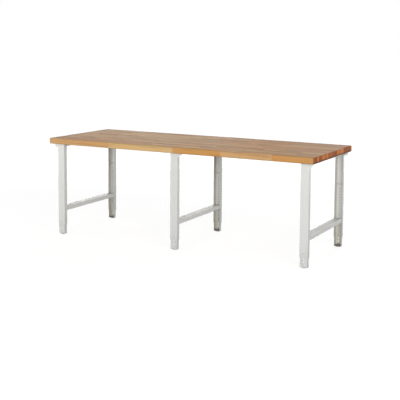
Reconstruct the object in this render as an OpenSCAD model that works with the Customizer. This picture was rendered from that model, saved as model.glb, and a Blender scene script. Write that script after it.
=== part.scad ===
// Modular workbench: a solid beech top on three leg frames of folded sheet steel.
// Each frame has two telescoping channel legs, a top rail, a crossbar and two corner brackets.
// Millimetres. X runs along the bench, -Y is the front, Z is up from the floor.
// The origin lies on the floor, below the centre of the worktop.

/* [Worktop] */
// Length of the worktop
top_l = 2500; // [1500:10:3000]
// Depth of the worktop from front to back
top_w = 900; // [600:10:1000]
// Thickness of the worktop
top_t = 50; // [40:1:60]
// Radius of the eased edges of the worktop
top_edge_r = 3; // [1:0.5:6]

/* [Leg frames] */
// Distance from the left end of the worktop to the outer side of the left legs
left_inset = 60; // [46:1:200]
// Distance from the right end of the worktop to the outer side of the right legs
right_inset = 46; // [46:1:200]
// Distance of the middle frame from the centre of the worktop, to the right
middle_shift = 10; // [-200:1:200]
// Distance from the long edges of the worktop to the face of the legs
edge_inset = 39; // [20:1:90]

/* [Upper leg] */
// Length of the upper leg
upper_l = 738; // [650:1:900]
// Width of the upper leg's channel
upper_w = 70; // [66:1:90]
// Depth of the upper leg's channel
upper_d = 35; // [34:0.5:45]
// Thickness of the upper leg's sheet
upper_t = 2.5; // [2:0.1:3]
// Outer radius of the upper leg's folds
upper_fold_r = 4; // [3.2:0.1:5]
// Height of the locking hole above the lower end of the upper leg
lock_up = 40; // [25:1:60]

/* [Lower leg] */
// Length of the lower leg
lower_l = 525; // [400:1:600]
// Gap between the sides of the two nested channels
slide_gap_x = 1.5; // [0.4:0.1:2]
// Gap between the faces of the two nested channels
slide_gap_y = 0.3; // [0.2:0.1:0.8]
// Depth of the lower leg's channel
lower_d = 31; // [28:0.5:31]
// Thickness of the lower leg's sheet
lower_t = 2.5; // [2:0.1:3]
// Outer radius of the lower leg's folds
lower_fold_r = 3.5; // [3.2:0.1:5]
// Distance between two holes of the height row
hole_pitch = 25; // [20:1:50]
// Diameter of the holes of the height row
hole_d = 9; // [8.6:0.1:12]
// Height of the lowest hole above the lower end of the lower leg
first_hole_up = 39; // [25:1:60]
// Solid length left above the highest hole
row_margin = 25; // [15:1:60]
// Hole of the row that the locking bolt goes through, counted from 0 at the lowest
lock_hole = 3; // [1:1:5]

/* [Foot] */
// Diameter of the levelling foot's disc
foot_d = 38; // [30:1:50]
// Height of the levelling foot's disc
foot_h = 5; // [4:0.5:8]
// Height of the bevel on the rim of the disc
foot_bevel = 1.5; // [0.5:0.1:2]
// Diameter of the levelling foot's stem
stem_d = 8; // [6:1:10]
// Length of the levelling foot's stem
stem_l = 25; // [22:1:27]
// Radial clearance of the stem in its bore
stem_fit = 0.1; // [0.02:0.01:0.1]
// Gap between the disc and the end cap above it
foot_gap = 1; // [0.5:0.1:3]
// Thickness of the end cap's rim under the lower leg
cap_rim = 2; // [1.5:0.1:4]
// Height of the end cap's plug inside the lower leg
cap_plug = 8; // [6:0.5:15]
// Gap between the end cap's plug and the walls of the lower leg
cap_gap = 0.2; // [0.1:0.05:0.4]
// Diameter of the end cap's threaded boss
boss_d = 18; // [14:0.5:24]
// Height of the boss above the plug
boss_h = 4; // [2:0.5:10]

/* [Crossbar] */
// Width of the crossbar
bar_w = 66; // [50:1:66]
// Height of the crossbar
bar_h = 34; // [20:1:60]
// Thickness of the crossbar's sheet
bar_t = 2.5; // [2:0.1:3]
// Outer radius of the crossbar's folds
bar_fold_r = 4; // [3.2:0.1:5]
// Thickness of the plates welded on the crossbar's ends
bar_plate_t = 3; // [2:0.1:5]
// Height of the crossbar's lower edge above the lower end of the upper leg
bar_up = 134; // [100:1:400]

/* [Top rail] */
// Height of the top rail
rail_h = 23; // [15:1:40]
// Thickness of the top rail's sheet
rail_t = 2.5; // [2:0.1:3]
// Outer radius of the top rail's folds
rail_fold_r = 4; // [3.2:0.1:5]
// Distance between two worktop screws along the rail
rail_screw_pitch = 270; // [150:1:300]

/* [Corner bracket] */
// Width of the bracket beside the leg
bracket_w = 30; // [24:1:45]
// Height of the bracket at the leg
bracket_h = 33; // [25:1:45]
// Size of the bevel on the bracket's lower corner
bracket_bevel = 15; // [5:1:20]
// Thickness of the bracket's sheet
bracket_t = 2.5; // [2:0.1:3]

/* [Fasteners] */
// Diameter of the worktop screws
screw_d = 6; // [4:0.5:8]
// Length of the worktop screws under the head
screw_l = 38; // [20:1:38]
// Diameter of the worktop screws' heads
screw_head_d = 13; // [10:0.5:16]
// Height of the worktop screws' heads
screw_head_h = 3.5; // [2:0.5:5]
// Width of the hexagon socket in the screws' heads
screw_socket = 4; // [3:0.5:5]
// Radial clearance of the screws in the wood
pilot_fit = 0.05; // [0.02:0.01:0.1]
// Depth that the pilot holes have past the screws' ends
pilot_spare = 2; // [1:0.5:5]
// Radial clearance of the screws in the sheet
screw_hole_gap = 0.5; // [0.3:0.1:1]
// Diameter of the locking bolts
bolt_d = 8; // [6:0.5:8]
// Diameter of the locking bolts' heads
bolt_head_d = 16; // [14:0.5:20]
// Height of the locking bolts' heads
bolt_head_h = 4; // [3:0.5:6]
// Height of the bevel round the locking bolts' heads
bolt_head_bevel = 2; // [1:0.1:3]
// Width of the hexagon socket in the locking bolts' heads
bolt_socket = 5; // [4:0.5:6]
// Depth of the hexagon sockets
socket_depth = 2; // [1:0.1:2.5]
// Width of the locking nuts across their flats
nut_flats = 13; // [11:0.5:17]
// Height of the locking nuts
nut_h = 6.5; // [5:0.5:8]
// Radial clearance of the nuts round their bolts
nut_fit = 0.05; // [0.02:0.01:0.1]
// Length of bolt that stands out past the nut
bolt_tail = 2; // [1:0.5:5]

/* [Hidden] */
$fn = 48;
frame_names = ["left", "middle", "right"];
end_names = ["front", "rear"];

// Heights above the floor
lower_z = foot_h + foot_gap + cap_rim;
lock_z = lower_z + first_hole_up + lock_hole * hole_pitch;
upper_z = lock_z - lock_up;
under_z = upper_z + upper_l;

// Places of the frames and of the faces of the legs
left_x = left_inset + upper_w / 2 - top_l / 2;
right_x = top_l / 2 - right_inset - upper_w / 2;
frame_x = [left_x, middle_shift, right_x];
bracket_side = [-1, 1, 1];
face_y = top_w / 2 - edge_inset;

// Sizes that follow from the nested channels
upper_in_w = upper_w - 2 * upper_t;
upper_in_r = upper_fold_r - upper_t;
lower_w = upper_in_w - 2 * slide_gap_x;
lower_in_w = lower_w - 2 * lower_t;
lower_in_r = lower_fold_r - lower_t;
lower_y = upper_t + slide_gap_y;
row_holes = 1 + floor((lower_l - first_hole_up - row_margin) / hole_pitch);
rail_w = upper_in_w - 2 * upper_in_r;
rail_l = 2 * (face_y - upper_t);
bar_l = 2 * (face_y - upper_d);
screw_hole_d = screw_d + 2 * screw_hole_gap;
pilot_depth = screw_l - rail_t + pilot_spare;

// Length that the crossbar's channel runs into its end plates, where they are welded
weld = 0.01;
// Length that a cutting shape stands out past the face that it cuts
past = 1;

wood = [0.82, 0.65, 0.46];
light_grey = [0.83, 0.84, 0.82];
zinc = [0.72, 0.73, 0.74];
black = [0.09, 0.09, 0.10];

// Outline of a folded channel from outside: square at the open side, round at both folds
module fold_outline(w, d, r) {
    translate([-w / 2, r]) square([w, d - r]);
    translate([-w / 2 + r, 0]) square([w - 2 * r, d]);
    for (side = [-1, 1]) translate([side * (w / 2 - r), r]) circle(r = r);
}

// Cross-section of a channel with its face on y = 0 and its open side towards +Y
module channel_section(w, d, t, r) {
    difference() {
        fold_outline(w, d, r);
        translate([0, t]) fold_outline(w - 2 * t, d, r - t);
    }
}

// Upright channel of length l, standing on z = 0
module channel(w, d, t, r, l) {
    linear_extrude(l) channel_section(w, d, t, r);
}

// Channel that lies along Y, centred, with its open side down and its face on z = 0
module lying_channel(w, d, t, r, l) {
    translate([0, l / 2, 0]) rotate([90, 0, 0]) mirror([0, 1, 0]) linear_extrude(l)
        channel_section(w, d, t, r);
}

// Round hole along Y through the face of a channel
module face_hole(d, t, z) {
    translate([0, -past, z]) rotate([-90, 0, 0]) cylinder(d = d, h = t + 2 * past);
}

// Hexagonal prism of a given width across its flats
module hexagon(flats, h) {
    cylinder(d = flats / cos(30), h = h, $fn = 6);
}

// Puts a leg's piece, drawn with its face on y = 0, at one end of one frame
module at_leg(f, e) {
    translate([frame_x[f], 0, 0])
        mirror([bracket_side[f] < 0 ? 1 : 0, 0, 0])
            mirror([0, e, 0]) translate([0, -face_y, 0]) children();
}

// Places of the worktop screws of one frame, each at the underside of the wood
module at_frame_screws(f) {
    for (k = [-1:1]) translate([frame_x[f], k * rail_screw_pitch, under_z]) children();
    for (e = [0, 1]) at_leg(f, e)
        translate([upper_w / 2 + bracket_w / 2, upper_d / 2, under_z]) children();
}

// Solid beech top with eased edges and blind pilot holes from below
module worktop() {
    color(wood) difference() {
        translate([0, 0, under_z]) intersection() {
            rotate([90, 0, 0]) translate([0, 0, -top_w / 2]) linear_extrude(top_w)
                eased_rectangle(top_l, top_t, top_edge_r);
            rotate([90, 0, 90]) translate([0, 0, -top_l / 2]) linear_extrude(top_l)
                eased_rectangle(top_w, top_t, top_edge_r);
        }
        for (f = [0:2]) at_frame_screws(f)
            translate([0, 0, -past])
                cylinder(d = screw_d + 2 * pilot_fit, h = pilot_depth + past);
    }
}

// Rectangle of width w on y = 0 with its four corners rounded
module eased_rectangle(w, h, r) {
    translate([-w / 2 + r, 0]) square([w - 2 * r, h]);
    translate([-w / 2, r]) square([w, h - 2 * r]);
    for (x = [-1, 1], y = [0, 1])
        translate([x * (w / 2 - r), y ? h - r : r]) circle(r = r);
}

// Upper leg: a channel that opens towards the middle of the bench, with one locking hole
module upper_leg(f, e) {
    color(light_grey) at_leg(f, e) difference() {
        translate([0, 0, upper_z])
            channel(upper_w, upper_d, upper_t, upper_fold_r, upper_l);
        face_hole(hole_d, upper_t, lock_z);
    }
}

// Lower leg: a narrower channel inside the upper one, with the row of height holes
module lower_leg(f, e) {
    color(light_grey) at_leg(f, e) translate([0, lower_y, lower_z]) difference() {
        channel(lower_w, lower_d, lower_t, lower_fold_r, lower_l);
        for (k = [0:row_holes - 1])
            face_hole(hole_d, lower_t, first_hole_up + k * hole_pitch);
    }
}

// End cap: plastic plug in the lower end of the lower leg, bored for the foot's stem
module end_cap(f, e) {
    color(black) at_leg(f, e) translate([0, lower_y, lower_z]) difference() {
        union() {
            translate([0, 0, -cap_rim])
                linear_extrude(cap_rim) fold_outline(lower_w, lower_d, lower_fold_r);
            translate([0, lower_t + cap_gap, 0]) linear_extrude(cap_plug)
                fold_outline(lower_in_w - 2 * cap_gap, lower_d - lower_t - cap_gap, lower_in_r);
            translate([0, lower_d / 2, 0]) cylinder(d = boss_d, h = cap_plug + boss_h);
        }
        translate([0, lower_d / 2, -cap_rim - past])
            cylinder(d = stem_d + 2 * stem_fit, h = cap_rim + cap_plug + boss_h + 2 * past);
    }
}

// Levelling foot: a disc on the floor with a threaded stem
module foot(f, e) {
    color(zinc) at_leg(f, e) translate([0, lower_y + lower_d / 2, 0]) rotate_extrude()
        polygon([
            [0, 0],
            [foot_d / 2, 0],
            [foot_d / 2, foot_h - foot_bevel],
            [foot_d / 2 - foot_bevel, foot_h],
            [stem_d / 2, foot_h],
            [stem_d / 2, foot_h + stem_l],
            [0, foot_h + stem_l]
        ]);
}

// Corner bracket: a folded tab, apron and side plate beside the top of the leg
module bracket(f, e) {
    color(light_grey) at_leg(f, e) translate([upper_w / 2, 0, under_z]) difference() {
        union() {
            translate([0, bracket_t, 0]) rotate([90, 0, 0]) linear_extrude(bracket_t) polygon([
                [0, 0],
                [bracket_w, 0],
                [bracket_w, bracket_bevel - bracket_h],
                [bracket_w - bracket_bevel, -bracket_h],
                [0, -bracket_h]
            ]);
            translate([0, 0, -bracket_t]) cube([bracket_w, upper_d, bracket_t]);
            translate([0, 0, -bracket_h]) cube([bracket_t, upper_d, bracket_h]);
        }
        translate([bracket_w / 2, upper_d / 2, -bracket_t - past])
            cylinder(d = screw_hole_d, h = bracket_t + 2 * past);
    }
}

// Top rail: a channel under the worktop from the face of one leg to the other
module top_rail(f) {
    color(light_grey) difference() {
        translate([frame_x[f], 0, under_z])
            lying_channel(rail_w, rail_h, rail_t, rail_fold_r, rail_l);
        for (k = [-1:1]) translate([frame_x[f], k * rail_screw_pitch, under_z - rail_t - past])
            cylinder(d = screw_hole_d, h = rail_t + 2 * past);
    }
}

// Crossbar: a channel between the two legs, closed by a plate at each end
module crossbar(f) {
    color(light_grey) translate([frame_x[f], 0, upper_z + bar_up]) {
        translate([0, 0, bar_h])
            lying_channel(bar_w, bar_h, bar_t, bar_fold_r, bar_l - 2 * bar_plate_t + 2 * weld);
        for (side = [-1, 1]) translate([0, side * (bar_l - bar_plate_t) / 2, bar_h / 2])
            cube([upper_w, bar_plate_t, bar_h], center = true);
    }
}

// Screws that hold the rails and the brackets to the worktop
module worktop_screws() {
    color(zinc) for (f = [0:2]) at_frame_screws(f) translate([0, 0, -rail_t]) difference() {
        union() {
            cylinder(d = screw_d, h = screw_l);
            translate([0, 0, -screw_head_h]) cylinder(d = screw_head_d, h = screw_head_h);
        }
        translate([0, 0, -screw_head_h - past]) hexagon(screw_socket, socket_depth + past);
    }
}

// Locking bolts: low round heads outside, shanks through both channels and the nuts
module locking_bolts() {
    bolt_l = lower_y + lower_t + nut_h + bolt_tail;
    color(zinc) for (f = [0:2], e = [0, 1])
        at_leg(f, e) translate([0, 0, lock_z]) rotate([-90, 0, 0]) difference() {
            rotate_extrude() polygon([
                [0, -bolt_head_h],
                [bolt_head_d / 2 - bolt_head_bevel, -bolt_head_h],
                [bolt_head_d / 2, bolt_head_bevel - bolt_head_h],
                [bolt_head_d / 2, 0],
                [bolt_d / 2, 0],
                [bolt_d / 2, bolt_l],
                [0, bolt_l]
            ]);
            translate([0, 0, -bolt_head_h - past]) hexagon(bolt_socket, socket_depth + past);
        }
}

// Locking nuts: seated on the inner face of the lower legs
module locking_nuts() {
    color(zinc) for (f = [0:2], e = [0, 1])
        at_leg(f, e) translate([0, lower_y + lower_t, lock_z]) rotate([-90, 0, 0]) difference() {
            hexagon(nut_flats, nut_h);
            translate([0, 0, -past]) cylinder(d = bolt_d + 2 * nut_fit, h = nut_h + 2 * past);
        }
}

worktop();
for (f = [0:2], e = [0, 1]) {
    leg_name = str(frame_names[f], "_", end_names[e]);
    upper_leg(f, e);
    lower_leg(f, e);
    end_cap(f, e);
    foot(f, e);
    bracket(f, e);
}
for (f = [0:2]) {
    top_rail(f);
    crossbar(f);
}
worktop_screws();
locking_bolts();
locking_nuts();
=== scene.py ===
# %% [markdown]
# A modular workbench stands on three frames of folded sheet steel. Its top is one slab of
# beech, glued up from staves. All of it could be modelled here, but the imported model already
# holds every piece at its real size and on the body that it moves with. So this script
# gives each surface its finish, adds the small turned and welded details, and sets up the
# light and the camera of a plain studio picture.

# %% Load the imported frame
import math

import bpy
import numpy as np
from mathutils import Matrix, Vector


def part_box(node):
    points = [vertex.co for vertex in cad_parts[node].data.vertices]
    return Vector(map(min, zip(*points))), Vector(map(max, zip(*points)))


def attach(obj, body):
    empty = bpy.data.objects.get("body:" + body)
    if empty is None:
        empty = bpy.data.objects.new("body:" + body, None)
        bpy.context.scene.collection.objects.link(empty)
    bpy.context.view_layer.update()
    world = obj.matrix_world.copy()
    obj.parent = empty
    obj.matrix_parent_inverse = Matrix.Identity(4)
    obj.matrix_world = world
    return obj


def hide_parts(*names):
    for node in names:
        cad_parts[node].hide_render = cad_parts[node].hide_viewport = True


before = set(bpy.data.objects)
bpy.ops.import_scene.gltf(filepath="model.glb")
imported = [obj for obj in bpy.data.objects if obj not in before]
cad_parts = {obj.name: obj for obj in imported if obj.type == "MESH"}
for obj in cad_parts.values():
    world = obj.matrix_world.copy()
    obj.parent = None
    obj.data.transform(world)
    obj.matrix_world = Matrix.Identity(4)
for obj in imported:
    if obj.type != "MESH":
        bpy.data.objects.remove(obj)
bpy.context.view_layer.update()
frames = ("left", "middle", "right")
ends = ("front", "rear")
legs = [f"{side}_{end}" for side in frames for end in ends]

# %% [markdown]
# The camera comes first, because the size of every detail is judged in its picture. The
# photograph was taken from the right and above, nearly level, and cropped: its horizon lies
# far above the middle of the picture. A level camera keeps upright edges upright, so most of
# the crop is made with the lens shift. A small tilt does the rest, so that the shift stays
# small and the bench also lies in the picture when it is looked at from another side.

# %% Camera
IMAGE_SIZE = 400
FOCAL_LENGTH_PIXELS = 846.2
PRINCIPAL_ROW = 120.0
SENSOR_WIDTH = 36.0
CAMERA_PLACE = (3.5064, -6.4203, 1.7470)
CAMERA_YAW = math.radians(28.425)
CAMERA_TILT = math.radians(5.375)
CAMERA_ROLL = math.radians(0.409)

camera_data = bpy.data.cameras.new("studio_camera")
camera_data.sensor_width = SENSOR_WIDTH
camera_data.lens = FOCAL_LENGTH_PIXELS / IMAGE_SIZE * SENSOR_WIDTH
camera_data.shift_y = (PRINCIPAL_ROW - IMAGE_SIZE / 2) / IMAGE_SIZE
camera_data.clip_end = 200.0
camera = bpy.data.objects.new("studio_camera", camera_data)
bpy.context.scene.collection.objects.link(camera)
bpy.context.scene.camera = camera

# The camera looks along its own -Z: it rolls a little about that line, is turned up nearly a
# quarter turn to look along +Y, and then turns about the upright to face the bench.
camera.matrix_world = (
    Matrix.Translation(CAMERA_PLACE)
    @ Matrix.Rotation(CAMERA_YAW, 4, "Z")
    @ Matrix.Rotation(math.radians(90) - CAMERA_TILT, 4, "X")
    @ Matrix.Rotation(CAMERA_ROLL, 4, "Z")
)
print("lens", round(camera_data.lens, 2), "mm, shift", round(camera_data.shift_y, 3))

# %% [markdown]
# The finishes are built from shader nodes. Written out by hand, a sum of two textures takes
# half a dozen lines, so two small classes do that work. The first is a Value, one output of
# a node. Arithmetic on it adds the Math nodes, so a formula reads as it would on paper.


# %% Shader helper: values that can be added and multiplied
class Value:
    """One output socket. Arithmetic on it adds Math nodes to its material."""

    def __init__(self, finish, socket):
        self.finish = finish
        self.socket = socket

    def math(self, operation, first, second=0.0):
        return self.finish.math(operation, first, second)

    def __add__(self, other):
        return self.math("ADD", self, other)

    def __radd__(self, other):
        return self.math("ADD", other, self)

    def __sub__(self, other):
        return self.math("SUBTRACT", self, other)

    def __rsub__(self, other):
        return self.math("SUBTRACT", other, self)

    def __mul__(self, other):
        return self.math("MULTIPLY", self, other)

    def __truediv__(self, other):
        return self.math("DIVIDE", self, other)

    def __pow__(self, other):
        return self.math("POWER", self, other)

    def __gt__(self, other):
        return self.math("GREATER_THAN", self, other)

    def floor(self):
        return self.math("FLOOR", self)

    def fraction(self):
        return self.math("FRACT", self)

    def size(self):
        return self.math("ABSOLUTE", self)

    def sine(self):
        return self.math("SINE", self)

    def root(self):
        return self.math("SQRT", self)

    def rise(self, low, high):
        """0 below low, 1 above high, and a smooth S between them."""
        return self.finish.node(
            "MapRange",
            {"interpolation_type": "SMOOTHSTEP"},
            {"Value": self, "From Min": low, "From Max": high},
        )


# %% [markdown]
# The second class is a Finish, the node tree of one material. Its node method adds any node
# and links its sockets, and the others are the few patterns that all four finishes share:
# where a point is, which way its face looks, noise, a mix of two colours, and the Principled
# shader at the end. Object coordinates make a pattern move with its piece.


# %% Shader helper: one material and its nodes
class Finish:
    """The node tree of one material or of the sky, with one method that adds any node."""

    def __init__(self, name, holder=None):
        self.material = holder or bpy.data.materials.new(name)
        self.material.use_nodes = True
        self.tree = self.material.node_tree
        self.tree.nodes.clear()

    def node(self, kind, settings=None, inputs=None, output=0):
        """Adds a node, sets its settings, then its sockets, and returns one output."""
        new = self.tree.nodes.new("ShaderNode" + kind)
        for name, value in (settings or {}).items():
            setattr(new, name, value)
        for name, value in (inputs or {}).items():
            if isinstance(value, Value):
                self.tree.links.new(value.socket, new.inputs[name])
            else:
                new.inputs[name].default_value = value
        return Value(self, new.outputs[output]) if len(new.outputs) else None

    def math(self, operation, first, second=0.0):
        return self.node("Math", {"operation": operation}, {0: first, 1: second})

    def parts(self, kind, vector):
        """The three outputs of a node that splits a vector or a colour."""
        first = self.node(kind, inputs={0: vector})
        return [Value(self, first.socket.node.outputs[k]) for k in range(3)]

    def place(self):
        """The x, y and z of the point that is shaded, in metres in the bench's frame."""
        return self.parts("SeparateXYZ", self.node("TexCoord", output="Object"))

    def facing(self):
        """The x, y and z of the direction in which the shaded face looks."""
        return self.parts("SeparateXYZ", self.node("TexCoord", output="Normal"))

    def vector(self, x, y, z):
        return self.node("CombineXYZ", inputs={0: x, 1: y, 2: z})

    def noise(self, where, scale, detail=2.0, roughness=0.5):
        sizes = {"Vector": where, "Scale": scale, "Detail": detail, "Roughness": roughness}
        return self.node("TexNoise", inputs=sizes)

    def mix(self, share, first, second, blend="MIX"):
        """Colour mix: share 0 is the first colour and share 1 the second."""
        settings = {"data_type": "RGBA", "blend_type": blend}
        return self.node("Mix", settings, {0: share, 6: first, 7: second}, output=2)

    def surface(self, inputs, height=None, depth=0.0):
        """Ends the material in a Principled shader, with a bump of the given depth."""
        inputs = dict(inputs)
        if height is not None:
            bump = {"Height": height, "Distance": depth, "Strength": 1.0}
            inputs["Normal"] = self.node("Bump", inputs=bump)
        shader = self.node("BsdfPrincipled", inputs=inputs)
        self.node("OutputMaterial", inputs={"Surface": shader})
        return self.material


# %% [markdown]
# Beech. The slab is glued from square staves that run its whole length, each made of
# shorter pieces joined end to end with fingers. A picture of wood could be laid on it, but it
# would repeat, and the top and the edges wouldn't agree. The pattern is worked out in space
# instead, so the first question is which stave a point is in, and which piece of that
# stave. Every stave starts its pieces at another place, a sine makes some pieces longer
# than others, and the joint between two pieces is a zigzag.


# %% Staves and their pieces
STAVES = 22
STAVE_TRIM = 0.06  # share of a stave that was planed off each long edge
PIECE_LENGTH = 0.55  # metres
FIRST_PIECE = 0.88  # where the first stave starts, as a share of a piece
STAGGER = 0.618  # how much later each next stave starts, as a share of a piece
UNEVENNESS = 0.2
FINGER_DEPTH = 0.010
FINGERS_PER_STAVE = 7.0


def stave_grid(x, y, low, stave_width):
    """Place across the slab, counted in staves, and along it, counted in pieces."""
    across = (y - low.y) / stave_width + STAVE_TRIM
    stave = across.floor()
    zigzag = (((across * FINGERS_PER_STAVE).fraction() - 0.5).size() - 0.25) * FINGER_DEPTH
    along = (x + zigzag - low.x) / PIECE_LENGTH + (stave * STAGGER + FIRST_PIECE).fraction()
    return across, along + (along * 1.6 + stave * 1.7).sine() * UNEVENNESS


# %% [markdown]
# Every piece was sawn from another log, so it gets three random numbers: one for its tone
# and two for its place in the log. The year rings are tubes round that log's middle. A wave
# texture would draw streaks too, but only tubes give streaks where the wood is cut along
# and arcs where it is cut across, at the two ends of the bench.


# %% Chance and year rings
LOG_CHANCE = 1366.5  # another number gives other logs
LOG_WIDTH = 0.16
LOG_HEIGHT = 0.14
RING_SPACING = 0.0034
RING_BEND = 0.022


def chances(wood, piece, stave):
    """Three random numbers from 0 to 1 for each piece of each stave."""
    label = wood.vector(piece + 0.5, stave + 0.5, LOG_CHANCE)
    chance = wood.node("TexWhiteNoise", {"noise_dimensions": "3D"}, {0: label}, output=1)
    return wood.parts("SeparateColor", chance)


def year_rings(wood, x, local_y, z, middle, tone, turn, lift):
    """Late wood, the dark end of each ring, from the distance to the middle of the log."""
    bend = wood.noise(wood.vector(x * 1.1 + tone * 40.0, local_y * 9.0, z * 9.0), 1.0, 2.0)
    reach_y = local_y - (turn - 0.5) * LOG_WIDTH
    reach_z = z - middle - (lift - 0.5) * LOG_HEIGHT
    distance = (reach_y * reach_y + reach_z * reach_z).root() + bend * RING_BEND
    season = (distance / RING_SPACING).fraction()
    return season ** 3.0 * (1.0 - season.rise(0.93, 1.0))


# %% [markdown]
# Growth and gluing leave their own marks: dark heartwood in a few staves, and glue lines.
# The slab's edges are darkened with painted shade, and the top is darker in patches towards
# its back and left edges. They could be painted by hand, but a mask that is worked out from
# the slab's box fits by itself: 1 where the mark is strongest and 0 where there is none.


# %% Marks on the slab
EDGE_REACH = 0.011
DARK_HEARTS = ((0.96, 6), (0.25, 4), (-1.00, 5), (-0.13, 3), (0.62, 13), (-0.55, 9))


def dark_hearts(x, stave):
    """Dark heartwood in a few staves: 1 at its middle, 0 in other staves and 14 cm away."""
    total = 0.0
    for heart_x, heart_stave in DARK_HEARTS:
        in_stave = 1.0 - ((stave - heart_stave).size() > 0.5)
        total = total + in_stave * (1.0 - (x - heart_x).size().rise(0.02, 0.14))
    return total


def glue_lines(across, along):
    """Thin lines between the staves, and thinner ones between the pieces of a stave."""
    beside = (across.fraction() - 0.5).size()
    behind = (along.fraction() - 0.5).size()
    return beside.rise(0.486, 0.497) + behind.rise(0.4985, 0.4996)


def rounded_edges(x, y, z, low, high):
    """1 on the slab's edges and 0 a finger's width away: two faces are near at once."""
    near = []
    for value, least, most in zip((x, y, z), low, high):
        middle, half = (least + most) / 2, (most - least) / 2
        near.append((value - middle).size().rise(half - EDGE_REACH, half))
    return (near[0] * near[1] + near[1] * near[2] + near[0] * near[2]).rise(0.0, 1.0)


def back_and_left_darkening(wood, x, y, z, low, high):
    """Darker patches that start 12 cm from the back edge and 9 cm from the left edge."""
    back_edge = y.rise(high.y - 0.120, high.y - 0.030)
    left_edge = 1.0 - x.rise(low.x + 0.020, low.x + 0.090)
    patches = wood.noise(wood.vector(x * 8.0, y * 8.0, z), 1.0, 2.0, 0.5).rise(0.00, 0.80)
    return wood.math("MAXIMUM", back_edge, left_edge) * patches


# %% [markdown]
# Now the colours. The tone of each piece comes first, then its rings, streaks and flecks. The
# two ends of the slab are cut across the grain and drink the oil, so they are dark, and towards
# their lower edge they are darkened almost to black with painted shade. The top is tinted
# warmer and lighter than its upright sides, a painted difference of light between the faces,
# and it turns darker towards its right end. One colour ramp would be shorter, but a mix for
# each cause can be tuned against the photograph by itself.


# %% Beech slab
PALE = (0.760, 0.520, 0.240, 1.0)
WARM = (0.612, 0.288, 0.072, 1.0)
ROSY = (0.570, 0.310, 0.150, 1.0)
BROWN = (0.300, 0.140, 0.052, 1.0)
FLECK = (0.300, 0.140, 0.055, 1.0)
END_PALE = (0.745, 0.256, 0.060, 1.0)
END_DARK = (0.285, 0.068, 0.017, 1.0)
TOP_PAINTED_LIGHT = (1.270, 1.165, 0.980, 1.0)
TOP_SHADE = (0.740, 0.740, 0.740, 1.0)
RIGHT_END_DARKENING = (0.885, 0.865, 0.835, 1.0)
BACK_AND_LEFT_DARK = (0.210, 0.115, 0.060, 1.0)
GLUE = (0.180, 0.085, 0.040, 1.0)
EDGE_PAINTED_SHADE = (0.200, 0.100, 0.045, 1.0)
END_PAINTED_SHADE = (0.045, 0.015, 0.009, 1.0)
BEECH_RELIEF = 0.00012


def beech(name, low, high):
    """Solid beech: tone by piece, streaks and rings by distance from each piece's log."""
    wood = Finish(name)
    x, y, z = wood.place()
    facing_x, _, facing_z = wood.facing()
    end_grain = facing_x.size().rise(0.6, 0.8)
    upward = facing_z.rise(0.6, 0.8)

    stave_width = (high.y - low.y) / (STAVES - 2 * STAVE_TRIM)
    across, along = stave_grid(x, y, low, stave_width)
    stave = across.floor()
    tone, turn, lift = chances(wood, along.floor(), stave)
    local_y = (across - stave - 0.5) * stave_width
    late_wood = year_rings(wood, x, local_y, z, (low.z + high.z) / 2, tone, turn, lift)

    def grain(stretch, fineness, detail, roughness=0.5, start=0.0):
        """Noise that is drawn out along the slab."""
        where = wood.vector(x * stretch + start, y * fineness, z * fineness)
        return wood.noise(where, 1.0, detail, roughness)

    fibre = grain(9.0, 420.0, 3.0, 0.6)
    fleck = grain(210.0, 900.0, 1.0).rise(0.66, 0.74)
    cloud = grain(1.7, 14.0, 3.0, 0.55, turn * 30.0)
    streak = grain(3.2, 75.0, 4.0, 0.6, lift * 50.0)

    colour = wood.mix(tone * 1.30 + cloud * 0.9 - 0.58, PALE, WARM)
    colour = wood.mix(turn.rise(0.4, 1.0) * 0.60, colour, ROSY)
    colour = wood.mix(late_wood * 0.26 + fibre * 0.10, colour, BROWN)
    dark = streak.rise(0.45, 0.75) * 0.50 + dark_hearts(x, stave) * 0.60
    colour = wood.mix(dark, colour, BROWN)
    colour = wood.mix(fleck * 0.30, colour, FLECK)
    end_tone = wood.mix(tone * 1.1 + late_wood * 0.5 - 0.25, END_PALE, END_DARK)
    colour = wood.mix(end_grain, colour, end_tone)

    # Painted light: the top is tinted warmer and lighter than its upright sides.
    colour = wood.mix(upward, colour, TOP_PAINTED_LIGHT, "MULTIPLY")
    colour = wood.mix(upward * lift, colour, TOP_SHADE, "MULTIPLY")
    # The top turns darker towards its right end.
    toward_right_end = upward * x.rise(high.x - 0.50, high.x - 0.12)
    colour = wood.mix(toward_right_end, colour, RIGHT_END_DARKENING, "MULTIPLY")

    # The top is darker in patches towards its back and left edges.
    patchy_share = upward * back_and_left_darkening(wood, x, y, z, low, high)
    colour = wood.mix(patchy_share * 0.50, colour, BACK_AND_LEFT_DARK)
    glue = glue_lines(across, along)
    colour = wood.mix(glue * 0.40, colour, GLUE)
    # Painted shade: the slab's edges are darkened.
    colour = wood.mix(rounded_edges(x, y, z, low, high) * 0.24, colour, EDGE_PAINTED_SHADE)
    # Painted shade: the ends darken almost to black towards their lower edge.
    lower_end_shade = end_grain * (1.0 - (z - low.z).rise(0.006, 0.019))
    colour = wood.mix(lower_end_shade * 0.75, colour, END_PAINTED_SHADE)

    roughness = 0.50 + fibre * 0.12 + end_grain * 0.22
    height = fibre * 0.6 + late_wood * 0.4 - glue * 0.8
    inputs = {"Base Color": colour, "Roughness": roughness, "Specular IOR Level": 0.15}
    return wood.surface(inputs, height, BEECH_RELIEF)


slab_low, slab_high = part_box("worktop")
beech_material = beech("oiled_beech", slab_low, slab_high)
print("worktop", [round(v, 3) for v in slab_high - slab_low], "with", STAVES, "staves")

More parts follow.
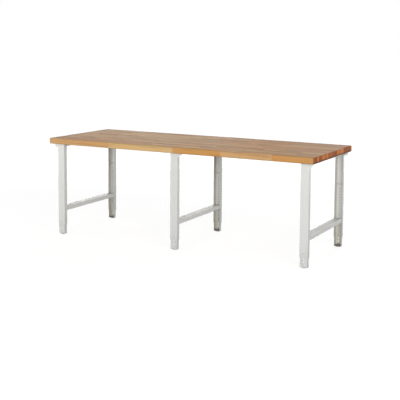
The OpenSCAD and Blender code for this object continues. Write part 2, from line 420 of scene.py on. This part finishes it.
# %% [markdown]
# The frames are sprayed with light grey powder that melts in an oven. Inside the channels the
# colour carries painted light and shade: the inner faces of the flanges are darker and the
# inner faces of the webs lighter. The direction in which a face looks tells inside from
# outside, so no face has to be picked by hand: a flange's inner face looks at the middle of
# its leg, and a web's inner face looks at the middle of the bench.


# %% Inside of the legs
LEG_REACH = 0.0355
leg_boxes = [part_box(f"upper_leg_{side}_front") for side in frames]
leg_middles = [(low.x + high.x) / 2 for low, high in leg_boxes]


def inside_of_legs(paint, x, y):
    """Masks of the inner faces of flanges and webs, and the distance from the leg's middle."""
    facing_x, facing_y, _ = paint.facing()
    from_middle = x - leg_middles[0]
    for left, right in zip(leg_middles, leg_middles[1:]):
        from_middle = from_middle - (x > (left + right) / 2) * (right - left)
    on_leg = 1.0 - (from_middle.size() > LEG_REACH)
    side_of_leg = (from_middle > 0.0) * 2.0 - 1.0
    side_of_bench = (y > 0.0) * 2.0 - 1.0
    flange = (0.0 - facing_x * side_of_leg).rise(0.5, 0.9) * on_leg
    web = (0.0 - facing_y * side_of_bench).rise(0.5, 0.9) * on_leg
    return flange, web, from_middle.size()


print("middles of the legs:", [round(v, 4) for v in leg_middles])

# %% [markdown]
# Powder coat never lies quite flat: a faint orange peel of about two millimetres breaks up
# its shine, and slow changes of thickness make it a touch greyer in places. Shoes and brooms
# scuff the lower ends of the legs, so the last hand's breadth above the floor is dull. Inside,
# painted shade darkens the two corners of each channel and the webs near the floor, and it
# darkens the upper leg's web behind the lower leg, which shows through the lower leg's holes.
# The peel is a bump and not a shape, because it is too shallow to show in an outline.


# %% Powder-coated steel
SLIDE_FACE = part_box("lower_leg_left_rear")[1].y + 0.0001  # between the two nested webs
SLIDE_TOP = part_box("lower_leg_left_rear")[1].z
COAT = (0.700, 0.705, 0.685, 1.0)
THIN_COAT = (0.660, 0.665, 0.645, 1.0)
SPECK = (0.350, 0.350, 0.340, 1.0)
SCUFF = (0.340, 0.320, 0.280, 1.0)
FLANGE_PAINTED_SHADE = (0.830, 0.810, 0.760, 1.0)
WEB_PAINTED_LIGHT = (1.080, 1.080, 1.070, 1.0)
CORNER_PAINTED_SHADE = (0.780, 0.765, 0.730, 1.0)
LOW_WEB_PAINTED_SHADE = (0.920, 0.890, 0.810, 1.0)
BEHIND_LOWER_LEG_PAINTED_SHADE = (0.420, 0.400, 0.370, 1.0)
COAT_RELIEF = 0.00005


def powder_coat(name):
    """Orange peel, a slow change of tone, specks of dust, and painted light and shade inside."""
    paint = Finish(name)
    x, y, z = paint.place()
    where = paint.vector(x, y, z)
    peel = paint.noise(where, 520.0, 2.0, 0.45)
    slow = paint.noise(where, 7.0, 3.0, 0.5)
    speck = paint.noise(where, 900.0, 1.0).rise(0.70, 0.76)
    colour = paint.mix(slow.rise(0.35, 0.75) * 0.30, COAT, THIN_COAT)
    colour = paint.mix(speck * 0.10, colour, SPECK)
    scuffed = (1.0 - z.rise(0.03, 0.24)) * paint.noise(where, 45.0, 4.0, 0.7).rise(0.3, 0.7)
    colour = paint.mix(scuffed * 0.30, colour, SCUFF)

    flange, web, from_middle = inside_of_legs(paint, x, y)
    # Painted shade on the inner faces of the flanges, and painted light on the inner faces of
    # the webs.
    colour = paint.mix(flange, colour, FLANGE_PAINTED_SHADE, "MULTIPLY")
    colour = paint.mix(web, colour, WEB_PAINTED_LIGHT, "MULTIPLY")
    # Painted shade in the two corners of each channel.
    corner_shade = web * from_middle.rise(0.018, 0.029)
    colour = paint.mix(corner_shade, colour, CORNER_PAINTED_SHADE, "MULTIPLY")
    # Painted shade on the inner faces of the webs near the floor.
    low_web_shade = web * (1.0 - z.rise(0.10, 0.26))
    colour = paint.mix(low_web_shade, colour, LOW_WEB_PAINTED_SHADE, "MULTIPLY")
    # Painted shade on the upper leg's web behind the lower leg, seen through its holes.
    behind_lower_leg = web * (y.size() > SLIDE_FACE) * (1.0 - z.rise(SLIDE_TOP - 0.03, SLIDE_TOP + 0.03))
    colour = paint.mix(behind_lower_leg, colour, BEHIND_LOWER_LEG_PAINTED_SHADE, "MULTIPLY")

    roughness = 0.36 + slow * 0.12 + peel * 0.06
    inputs = {"Base Color": colour, "Roughness": roughness, "Specular IOR Level": 0.5}
    return paint.surface(inputs, peel, COAT_RELIEF)


coat_material = powder_coat("light_grey_powder_coat")
print("frames:", coat_material.name)

# %% [markdown]
# Zinc. The bolts, nuts, screws and feet are zinc plated. An even grey metal would look like
# foil. Under a loupe the plating is a patchwork of crystals, so its shine changes in cells,
# and handling leaves it blotchy.


# %% Zinc plating
ZINC = (0.62, 0.63, 0.64, 1.0)
DULL_ZINC = (0.42, 0.43, 0.44, 1.0)
ZINC_RELIEF = 0.00002


def zinc_plate(name):
    """Bright zinc whose cells differ a little in tone and shine."""
    zinc = Finish(name)
    where = zinc.vector(*zinc.place())
    cells = zinc.node("TexVoronoi", inputs={"Vector": where, "Scale": 600.0}, output="Color")
    cell = zinc.node("SeparateColor", inputs={0: cells})
    blotch = zinc.noise(where, 120.0, 3.0, 0.6)
    shade = cell * 0.35 + blotch * 0.65
    colour = zinc.mix(shade, ZINC, DULL_ZINC)
    inputs = {"Base Color": colour, "Metallic": 1.0, "Roughness": 0.34 + shade * 0.26}
    return zinc.surface(inputs, blotch, ZINC_RELIEF)


zinc_material = zinc_plate("zinc_plating")
print("fasteners:", zinc_material.name)

# %% [markdown]
# Black plastic. The end caps are moulded in a tool with a spark-eroded wall, which leaves
# a fine even grain and a dull shine. Plain black would swallow the plug's shape. The real one
# sits just above the floor and is grey with dust, so patches of dust lie over it here too.


# %% Moulded plastic
DUSTY_BLACK = (0.135, 0.132, 0.128, 1.0)
FLOOR_DUST = (0.250, 0.242, 0.225, 1.0)
PLASTIC_RELIEF = 0.00004


def grained_plastic(name):
    """Dark grey plastic with the fine grain of its mould and patches of dust."""
    plastic = Finish(name)
    where = plastic.vector(*plastic.place())
    grain = plastic.noise(where, 1400.0, 2.0, 0.7)
    patchy_share = plastic.noise(where, 60.0, 3.0).rise(0.45, 0.8)
    colour = plastic.mix(patchy_share * 0.50, DUSTY_BLACK, FLOOR_DUST)
    roughness = 0.46 + grain * 0.2
    inputs = {"Base Color": colour, "Roughness": roughness, "Specular IOR Level": 0.4}
    return plastic.surface(inputs, grain, PLASTIC_RELIEF)


plastic_material = grained_plastic("black_end_cap_plastic")
print("end caps:", plastic_material.name)

# %% [markdown]
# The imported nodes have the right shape. The slab, the sheet-steel pieces and the end caps keep
# their own mesh, so that nothing can drift from the model, and only take a finish here.


# %% Dress the nodes
def dress(node, material):
    """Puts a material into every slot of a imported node."""
    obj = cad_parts[node]
    if not obj.material_slots:
        obj.data.materials.append(material)
    for slot in obj.material_slots:
        slot.material = material


finishes = {"worktop": beech_material}
for leg in legs:
    for kind in ("upper_leg", "lower_leg", "bracket"):
        finishes[f"{kind}_{leg}"] = coat_material
    finishes[f"end_cap_{leg}"] = plastic_material
for side in frames:
    finishes[f"top_rail_{side}"] = coat_material
    finishes[f"crossbar_{side}"] = coat_material
for node, material in finishes.items():
    dress(node, material)
print("dressed", len(finishes), "of", len(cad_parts), "nodes")

# %% [markdown]
# The turned pieces - bolts, nuts, screws and feet - are surfaces over two numbers: the
# angle round the axis, and the step along a profile. Each step gives a radius and a height.
# A Screw modifier could turn such a profile as well, but here the radius may also depend on
# the angle. That makes a hexagon, and a thread is a ramp wound round the shank.


# %% Rings of a turned piece
MM = 0.001
ROUND_STEPS = 48
THREAD_STEPS = 8
angles = np.arange(ROUND_STEPS) * (2 * np.pi / ROUND_STEPS)


def hexagon(flats):
    """Radius of a hexagon at each angle: half its flats over the cosine from the flat."""
    return flats / 2 / np.cos(angles % (np.pi / 3) - np.pi / 6)


def ring(radius, height):
    """One ring as rows of x, y, z: radius times cosine and sine of the angle, and height."""
    radius = np.broadcast_to(radius, angles.shape)
    height = np.broadcast_to(height, angles.shape)
    return np.stack([radius * np.cos(angles), radius * np.sin(angles), height], axis=1)


def arc(radius_from, height_from, radius_to, height_to, steps=6):
    """Rings on a quarter ellipse: the radius goes with the sine and the height with the
    cosine of a quarter turn, so the curve leaves level and arrives upright."""
    t = np.linspace(0, np.pi / 2, steps + 1)
    radii = radius_from + (radius_to - radius_from) * np.sin(t)
    heights = height_to + (height_from - height_to) * np.cos(t)
    return [ring(r, h) for r, h in zip(radii, heights)]


def thread(core, crest, pitch, start, stop):
    """Rings of a thread: the radius is a triangle wave of height over pitch less the share
    of a turn, and it fades to the core within one pitch of both ends."""
    steps = max(2, int(abs(stop - start) / pitch * THREAD_STEPS))
    rings = []
    for height in np.linspace(start, stop, steps + 1):
        wave = np.abs((height / pitch - angles / (2 * np.pi)) % 1.0 - 0.5) * 2
        fade = min(1.0, abs(height - start) / pitch, abs(stop - height) / pitch)
        rings.append(ring(core + (crest - core) * wave * fade, height))
    return rings


# %% [markdown]
# A stack of rings becomes a mesh when each point is joined to its neighbours: the next one
# on its ring, and the two above them. numpy numbers all these quads at once, which a loop
# would do slowly. A fan of triangles round one more point closes each end, and the sign of
# the volume tells whether the faces look outwards.


# %% Mesh of a turned piece
def strip_quads(rows, columns, close_rows=False):
    """Quads of a grid whose columns close on themselves, and its rows too where asked."""
    row = np.arange(rows if close_rows else rows - 1)[:, None]
    column = np.arange(columns)[None, :]
    next_row = (row + 1) % rows
    beside = (column + 1) % columns
    corners = [
        row * columns + column,
        row * columns + beside,
        next_row * columns + beside,
        next_row * columns + column,
    ]
    return np.stack(corners, axis=-1).reshape(-1, 4)


def turned(rings, close_rows=False):
    """Points, quads and triangles of a turned solid. Its ends are closed by fans."""
    points = np.concatenate(rings)
    quads = strip_quads(len(rings), ROUND_STEPS, close_rows)
    triangles = np.zeros((0, 3), dtype=int)
    if not close_rows:
        poles = np.array([rings[0].mean(axis=0), rings[-1].mean(axis=0)])
        step = np.arange(ROUND_STEPS)
        beside = (step + 1) % ROUND_STEPS
        last = (len(rings) - 1) * ROUND_STEPS
        near = np.stack([np.full_like(step, len(points)), beside, step], axis=1)
        far = np.stack([np.full_like(step, len(points) + 1), step + last, beside + last], axis=1)
        triangles = np.concatenate([near, far])
        points = np.concatenate([points, poles])
    return points, quads, triangles


def signed_volume(points, quads, triangles):
    """Volume by the divergence theorem: a sixth of the triple product of each triangle."""
    fans = np.concatenate([quads[:, [0, 1, 2]], quads[:, [0, 2, 3]], triangles])
    a, b, c = (points[fans[:, k]] for k in range(3))
    return float(np.einsum("ij,ij->i", a, np.cross(b, c)).sum() / 6)


# %% [markdown]
# Six equal bolts are one shape at six places. They could be six objects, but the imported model
# holds them as one node, so the points are multiplied by each place's matrix and go into
# one mesh. The new object rides on the body of the node that it replaces. Faces are shaded
# smooth where they meet at less than 35 degrees, so round parts look round and edges crisp.


# %% Object from one shape at many places
CREASE = math.radians(35)


def add_piece(name, shape, places, material, body, replaced=()):
    """One mesh object: the shape's points times each 4x4 place, all faces turned outwards."""
    points, quads, triangles = shape
    matrices = np.array([np.array(place) for place in places])
    moved = np.einsum("nij,pj->npi", matrices[:, :3, :3], points) + matrices[:, None, :3, 3]
    if signed_volume(moved[0] - moved[0].mean(axis=0), quads, triangles) < 0:
        quads, triangles = quads[:, ::-1], triangles[:, ::-1]
    offsets = (np.arange(len(places)) * len(points))[:, None, None]
    all_quads = (quads[None] + offsets).reshape(-1, 4).tolist()
    all_triangles = (triangles[None] + offsets).reshape(-1, 3).tolist()
    mesh = bpy.data.meshes.new(name)
    mesh.from_pydata(moved.reshape(-1, 3).tolist(), [], all_quads + all_triangles)
    mesh.shade_smooth()
    mesh.set_sharp_from_angle(angle=CREASE)
    mesh.materials.append(material)
    obj = bpy.data.objects.new(name, mesh)
    bpy.context.scene.collection.objects.link(obj)
    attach(obj, body)
    "frame_paint" if material == coat_material else "zinc_plating"
    if replaced:
        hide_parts(*replaced)
    print(name, "has", len(all_quads) + len(all_triangles), "faces at", len(places), "places")


# %% [markdown]
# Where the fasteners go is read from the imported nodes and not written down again: a bolt is
# in the middle of its leg, at the height of the bolts' box, and its axis points out of the
# leg's face.


# %% Places of the legs' faces
def leg_face(leg):
    """x of the leg's middle, y of its outer face, and the outward direction along Y."""
    low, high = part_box(f"upper_leg_{leg}")
    outward = -1.0 if leg.endswith("front") else 1.0
    return (low.x + high.x) / 2, low.y if outward < 0 else high.y, outward


def out_of_face(leg, height):
    """4x4 that stands a turned piece on a leg's face, its axis pointing outwards."""
    x, y, outward = leg_face(leg)
    return Matrix.Translation((x, y, height)) @ Matrix.Rotation(-outward * math.pi / 2, 4, "X")


bolts_low, bolts_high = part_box("locking_bolts")
lock_height = (bolts_low.z + bolts_high.z) / 2
front_face = leg_face("left_front")[1]
head_height = front_face - bolts_low.y
print("locking bolts at", round(lock_height, 4), "with heads", round(head_height, 4), "high")

# %% [markdown]
# Locking bolts: low round heads with a hexagon socket. Half a sphere would stand too high, so
# the head's profile is a quarter ellipse, which catches a soft highlight as a pressed head
# does. The shank is plain where it lies in the sheets and threaded behind them, with the
# thread's usual pitch for this size.

# %% Locking bolts
BOLT_RADIUS = 4.0 * MM
THREAD_CORE = 3.4 * MM
THREAD_TIP = 2.9 * MM
THREAD_PITCH = 1.25 * MM
PLAIN_SHANK = 7.0 * MM
BOLT_LENGTH = 13.8 * MM
BOLT_RIM = 4.2 * MM
BOLT_WALL = 0.7 * MM
BOLT_SOCKET = 5.0 * MM
SOCKET_DEPTH = 2.0 * MM
SOCKET_CENTRE = 0.2 * MM
SOCKET_BEVEL = 0.2 * MM

head_radius = (bolts_high.z - bolts_low.z) / 2
socket = hexagon(BOLT_SOCKET)
bolt_rings = [
    ring(SOCKET_CENTRE, head_height - SOCKET_DEPTH),
    ring(socket, head_height - SOCKET_DEPTH),
    ring(socket, head_height - SOCKET_BEVEL),
    ring(socket + SOCKET_BEVEL, head_height),
]
bolt_rings += arc(head_radius - BOLT_RIM, head_height, head_radius, BOLT_WALL)
bolt_rings += [
    ring(head_radius, 0.0),
    ring(BOLT_RADIUS, 0.0),
    ring(BOLT_RADIUS, -PLAIN_SHANK),
]
bolt_rings += thread(THREAD_CORE, BOLT_RADIUS, THREAD_PITCH, -PLAIN_SHANK, -BOLT_LENGTH)
bolt_rings.append(ring(THREAD_TIP, -BOLT_LENGTH))
bolt_places = [out_of_face(leg, lock_height) for leg in legs]
add_piece(
    "locking_bolts_with_sockets", turned(bolt_rings), bolt_places, zinc_material, "bench",
    ["locking_bolts"],
)

# %% [markdown]
# Locking nuts. A nut's corners are turned off at 30 degrees, so its chamfer dips where the
# corner is far from the axis. Its rings close on themselves, because it has a bore. Cutting
# a cone from a hexagon with a Boolean would give the same edge with untidy faces.

# %% Locking nuts
NUT_HEIGHT = 6.5 * MM
NUT_FACE = 6.2 * MM
NUT_BORE = 4.05 * MM
NUT_BEVEL = 0.4 * MM

nuts_low, nuts_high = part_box("locking_nuts")
nut_outline = hexagon(nuts_high.z - nuts_low.z)
chamfer = (nut_outline - NUT_FACE) * math.tan(math.radians(30))
nut_rings = [
    ring(NUT_BORE, NUT_BEVEL),
    ring(NUT_BORE, NUT_HEIGHT - NUT_BEVEL),
    ring(NUT_BORE + NUT_BEVEL, NUT_HEIGHT),
    ring(NUT_FACE, NUT_HEIGHT),
    ring(nut_outline, NUT_HEIGHT - chamfer),
    ring(nut_outline, chamfer),
    ring(NUT_FACE, 0.0),
    ring(NUT_BORE + NUT_BEVEL, 0.0),
]
nut_seat = nuts_low.y - front_face
nut_offset = Matrix.Translation((0, 0, -nut_seat - NUT_HEIGHT))
nut_places = [place @ nut_offset for place in bolt_places]
add_piece(
    "locking_nuts_chamfered", turned(nut_rings, close_rows=True), nut_places, zinc_material,
    "bench", ["locking_nuts"],
)

# %% [markdown]
# Worktop screws: three along each rail and one in each bracket, seen only from below. Their
# heads are domed and have a socket like the bolts'. The wood hides their shanks, so these
# stay plain.

# %% Worktop screws
RAIL_SCREW_PITCH = 0.27
SHEET = 2.5 * MM
SCREW_RADIUS = 3.0 * MM
SCREW_HEAD_RADIUS = 6.5 * MM
SCREW_HEAD_FLAT = 3.2 * MM
SCREW_HEAD_WALL = 0.6 * MM
SCREW_SOCKET = 4.0 * MM

screws_low, screws_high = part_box("worktop_screws")
underside = slab_low.z - SHEET
screw_head = underside - screws_low.z
screw_socket = hexagon(SCREW_SOCKET)
screw_rings = [
    ring(SOCKET_CENTRE, screw_head - SOCKET_DEPTH),
    ring(screw_socket, screw_head - SOCKET_DEPTH),
    ring(screw_socket, screw_head),
]
screw_rings += arc(SCREW_HEAD_FLAT, screw_head, SCREW_HEAD_RADIUS, SCREW_HEAD_WALL)
screw_rings += [
    ring(SCREW_HEAD_RADIUS, 0.0),
    ring(SCREW_RADIUS, 0.0),
    ring(SCREW_RADIUS, underside - screws_high.z),
]

screw_spots = []
for side in frames:
    low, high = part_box(f"top_rail_{side}")
    screw_spots += [((low.x + high.x) / 2, k * RAIL_SCREW_PITCH) for k in (-1, 0, 1)]
for leg in legs:
    low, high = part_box(f"bracket_{leg}")
    screw_spots.append(((low.x + high.x) / 2, (low.y + high.y) / 2))
screw_places = [
    Matrix.Translation((x, y, underside)) @ Matrix.Rotation(math.pi, 4, "X")
    for x, y in screw_spots
]
add_piece(
    "worktop_screws_domed", turned(screw_rings), screw_places, zinc_material, "bench",
    ["worktop_screws"],
)

# %% [markdown]
# Levelling feet: a disc with a rounded rim and a stem with a real thread, a spiral that
# climbs 1.25 mm at each turn. A bump could fake the thread, but the stem stands free inside
# the leg and its outline shows. Each foot is its own piece, because each one moves.

# %% Levelling feet
DISC_HEIGHT = 5.0 * MM
DISC_ROUNDING = 1.8 * MM
DISC_BEVEL = 1.0 * MM
DISC_BEVEL_HEIGHT = 0.8 * MM
STEM_START = DISC_HEIGHT + 0.1 * MM
STEM_BEVEL = 0.5 * MM

for leg in legs:
    low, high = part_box(f"foot_{leg}")
    rim = (high.x - low.x) / 2
    shoulder = DISC_HEIGHT - DISC_ROUNDING
    foot_rings = [
        ring(rim - DISC_BEVEL, 0.0),
        ring(rim, DISC_BEVEL_HEIGHT),
        ring(rim, shoulder),
    ]
    foot_rings += arc(rim, shoulder, rim - DISC_ROUNDING, DISC_HEIGHT, 4)
    foot_rings.append(ring(BOLT_RADIUS, DISC_HEIGHT))
    stem_top = high.z - STEM_BEVEL
    foot_rings += thread(THREAD_CORE, BOLT_RADIUS, THREAD_PITCH, STEM_START, stem_top)
    foot_rings.append(ring(THREAD_TIP, high.z))
    centre = Matrix.Translation(((low.x + high.x) / 2, (low.y + high.y) / 2, 0.0))
    add_piece(
        f"foot_{leg}_threaded", turned(foot_rings), [centre], zinc_material,
        f"levelling_{leg}", [f"foot_{leg}"],
    )

# %% [markdown]
# Welds. Each crossbar is closed by two plates, and each plate is welded to the sides of the
# bar and to the edges of the legs. A weld is a row of frozen drops, so its section swells
# and shrinks along the seam. A bevelled curve would give an even bead, and so the surface
# is computed instead. Powder covers it, so it has the colour of the frame.


# %% Weld beads
def bead(start, stop, side, spread, width, height, drops):
    """A half-round ridge on the line from start to stop. Its height follows the size of a
    sine along the line, one hump for each drop, and tapers to nothing at both ends."""
    along = np.linspace(0, 1, drops * 4 + 1)[:, None, None]
    round_angle = np.linspace(0, np.pi, 9)[None, :, None]
    taper = np.minimum(1, 12 * along * (1 - along))
    swell = (0.8 + 0.2 * np.abs(np.sin(along * drops * np.pi))) * taper
    line = np.array(start) + (np.array(stop) - np.array(start)) * along
    out = np.array(side) * height * swell * np.sin(round_angle)
    across = np.array(spread) * width / 2 * swell * np.cos(round_angle)
    return line + out + across


def joined(strips):
    """One shape from several beads, each turned so that its faces point outwards."""
    points, quads = [], []
    no_triangles = np.zeros((0, 3), dtype=int)
    for strip in strips:
        rows, columns, _ = strip.shape
        corners = strip.reshape(-1, 3)
        loop = strip_quads(rows, columns)
        if signed_volume(corners - corners.mean(axis=0), loop, no_triangles) < 0:
            loop = loop[:, ::-1]
        quads.append(loop + sum(len(p) for p in points))
        points.append(corners)
    return np.concatenate(points), np.concatenate(quads), no_triangles


PLATE = 3.0 * MM
SEAM_END = 2.0 * MM
LEG_SEAM = {"width": 4.0 * MM, "height": 1.1 * MM, "drops": 16}
PLATE_SEAM = {"width": 3.6 * MM, "height": 1.6 * MM, "drops": 15}

for side in frames:
    low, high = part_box(f"crossbar_{side}")
    beads = []
    for seam_y, end in ((low.y, -1.0), (high.y, 1.0)):
        for edge_x, out in ((low.x, -1.0), (high.x, 1.0)):
            sideways, endways = (out, 0, 0), (0, 1, 0)
            bottom = (edge_x, seam_y, low.z + SEAM_END)
            top = (edge_x, seam_y, high.z - SEAM_END)
            beads.append(bead(bottom, top, sideways, endways, **LEG_SEAM))
            bottom = (edge_x - out * SEAM_END, seam_y - end * PLATE, low.z + SEAM_END)
            top = (bottom[0], bottom[1], high.z - 2 * SEAM_END)
            beads.append(bead(bottom, top, sideways, endways, **PLATE_SEAM))
    here = [Matrix.Identity(4)]
    add_piece(f"crossbar_welds_{side}", joined(beads), here, coat_material, "bench")

# %% [markdown]
# The studio. The brightness of the faces in the photograph tells where its lamps stood. The
# fronts of the legs are evenly bright up to the worktop, so the lamps in front of the bench
# stand low: one in the middle and one at either side. Another at the right, a little higher,
# lights the end of the bench. A high lamp behind it meets the wood at a low angle, so the top
# is darker than its front edge, and two weak lamps keep the backs from going black. Each
# lamp was rendered alone, and the powers are those whose sum comes nearest to the photograph.


# %% Lamps
def softbox(name, place, target, size, power):
    """A rectangular area lamp at a place, turned towards a target."""
    lamp_data = bpy.data.lights.new(name, "AREA")
    lamp_data.shape = "RECTANGLE"
    lamp_data.size, lamp_data.size_y = size
    lamp_data.energy = power
    lamp = bpy.data.objects.new(name, lamp_data)
    bpy.context.scene.collection.objects.link(lamp)
    lamp.location = place
    lamp.rotation_euler = (Vector(target) - Vector(place)).to_track_quat("-Z", "Y").to_euler()
    print(name, "shines with", power, "watts")


softbox("front_softbox", (0.0, -7.0, 1.3), (0.0, 0.0, 0.5), (3.0, 2.0), 119.0)
softbox("right_front_softbox", (4.4, -5.0, 1.8), (0.3, 0.0, 0.5), (2.4, 1.6), 131.0)
softbox("right_softbox", (5.0, -3.0, 2.5), (0.3, 0.0, 0.5), (2.0, 1.6), 65.0)
softbox("left_front_softbox", (-5.0, -3.5, 1.3), (0.0, 0.0, 0.5), (2.4, 1.6), 139.0)
softbox("back_right_softbox", (2.8, 4.6, 1.0), (0.3, 0.0, 0.5), (3.0, 1.6), 75.0)
softbox("back_left_softbox", (-3.2, 4.6, 1.6), (-0.3, 0.0, 0.4), (3.0, 1.6), 43.0)
softbox("back_softbox", (0.0, 5.5, 3.2), (0.0, 0.0, 0.5), (3.0, 2.0), 55.0)

# %% [markdown]
# The ground of the photograph is pure white. More light on a grey floor would bleach the
# legs as well, so the sky is white only where a camera ray, or a ray that was mirrored by
# the zinc and the varnish, meets it, and the floor lets such a ray through, like a sheet of
# glass over white. Rays that carry light see a dull sky and a grey floor. A little diffuse
# paint on the glass keeps a faint shadow below the feet, so the bench stands. A leg that is
# drawn out goes down through the floor and still shows, lit through the floor's underside.


# %% Sky and floor
WHITE = (1.0, 1.0, 1.0, 1.0)
SKY_STRENGTH = 0.10
FLOOR_REACH = 60.0
FLOOR_GREY = (0.42, 0.42, 0.42, 1.0)
FILM_GREY = (0.30, 0.30, 0.30, 1.0)
FILM_SHARE = 0.15
FILM_FADES_FROM, FILM_FADES_TO = 2.5, 7.0


def looked_at(finish):
    """1 for rays from the camera or by way of a mirror or glass, 0 for the others."""
    kinds = ("Is Camera Ray", "Is Glossy Ray", "Is Transmission Ray")
    seen = [finish.node("LightPath", output=kind) for kind in kinds]
    return finish.math("MAXIMUM", finish.math("MAXIMUM", seen[0], seen[1]), seen[2])


world = bpy.data.worlds.new("studio_sky")
bpy.context.scene.world = world
sky = Finish("studio_sky", world)
sky_strength = looked_at(sky) * (1.0 - SKY_STRENGTH) + SKY_STRENGTH
white_sky = sky.node("Background", inputs={"Color": WHITE, "Strength": sky_strength})
sky.node("OutputWorld", inputs={"Surface": white_sky})

reach = FLOOR_REACH
floor_mesh = bpy.data.meshes.new("pale_floor")
floor_corners = [(-reach, -reach, 0), (reach, -reach, 0), (reach, reach, 0), (-reach, reach, 0)]
floor_mesh.from_pydata(floor_corners, [], [(0, 1, 2, 3)])
floor = bpy.data.objects.new("pale_floor", floor_mesh)
bpy.context.scene.collection.objects.link(floor)

paper = Finish("pale_paper_sheet")
floor_x, floor_y, _ = paper.place()
distance = (floor_x * floor_x + floor_y * floor_y).root()
far_away = distance.rise(FILM_FADES_FROM, FILM_FADES_TO)
film = paper.node("BsdfDiffuse", inputs={"Color": FILM_GREY})
clearness = far_away * FILM_SHARE + (1.0 - FILM_SHARE)
glass = paper.node("BsdfTransparent", inputs={"Color": clearness})
painted_glass = paper.node("AddShader", inputs={0: film, 1: glass})
grey_paper = paper.node("BsdfDiffuse", inputs={"Color": FLOOR_GREY})
sheet = paper.node("MixShader", inputs={0: looked_at(paper), 1: grey_paper, 2: painted_glass})
shadow_ray = paper.node("LightPath", output="Is Shadow Ray")
open_below = shadow_ray * paper.node("NewGeometry", output="Backfacing")
nothing = paper.node("BsdfTransparent")
sheet = paper.node("MixShader", inputs={0: open_below, 1: sheet, 2: nothing})
paper.node("OutputMaterial", inputs={"Surface": sheet})
floor_mesh.materials.append(paper.material)

bpy.context.scene.view_settings.view_transform = "Standard"
print("floor reaches", FLOOR_REACH, "metres, sky gives", SKY_STRENGTH, "of its light")
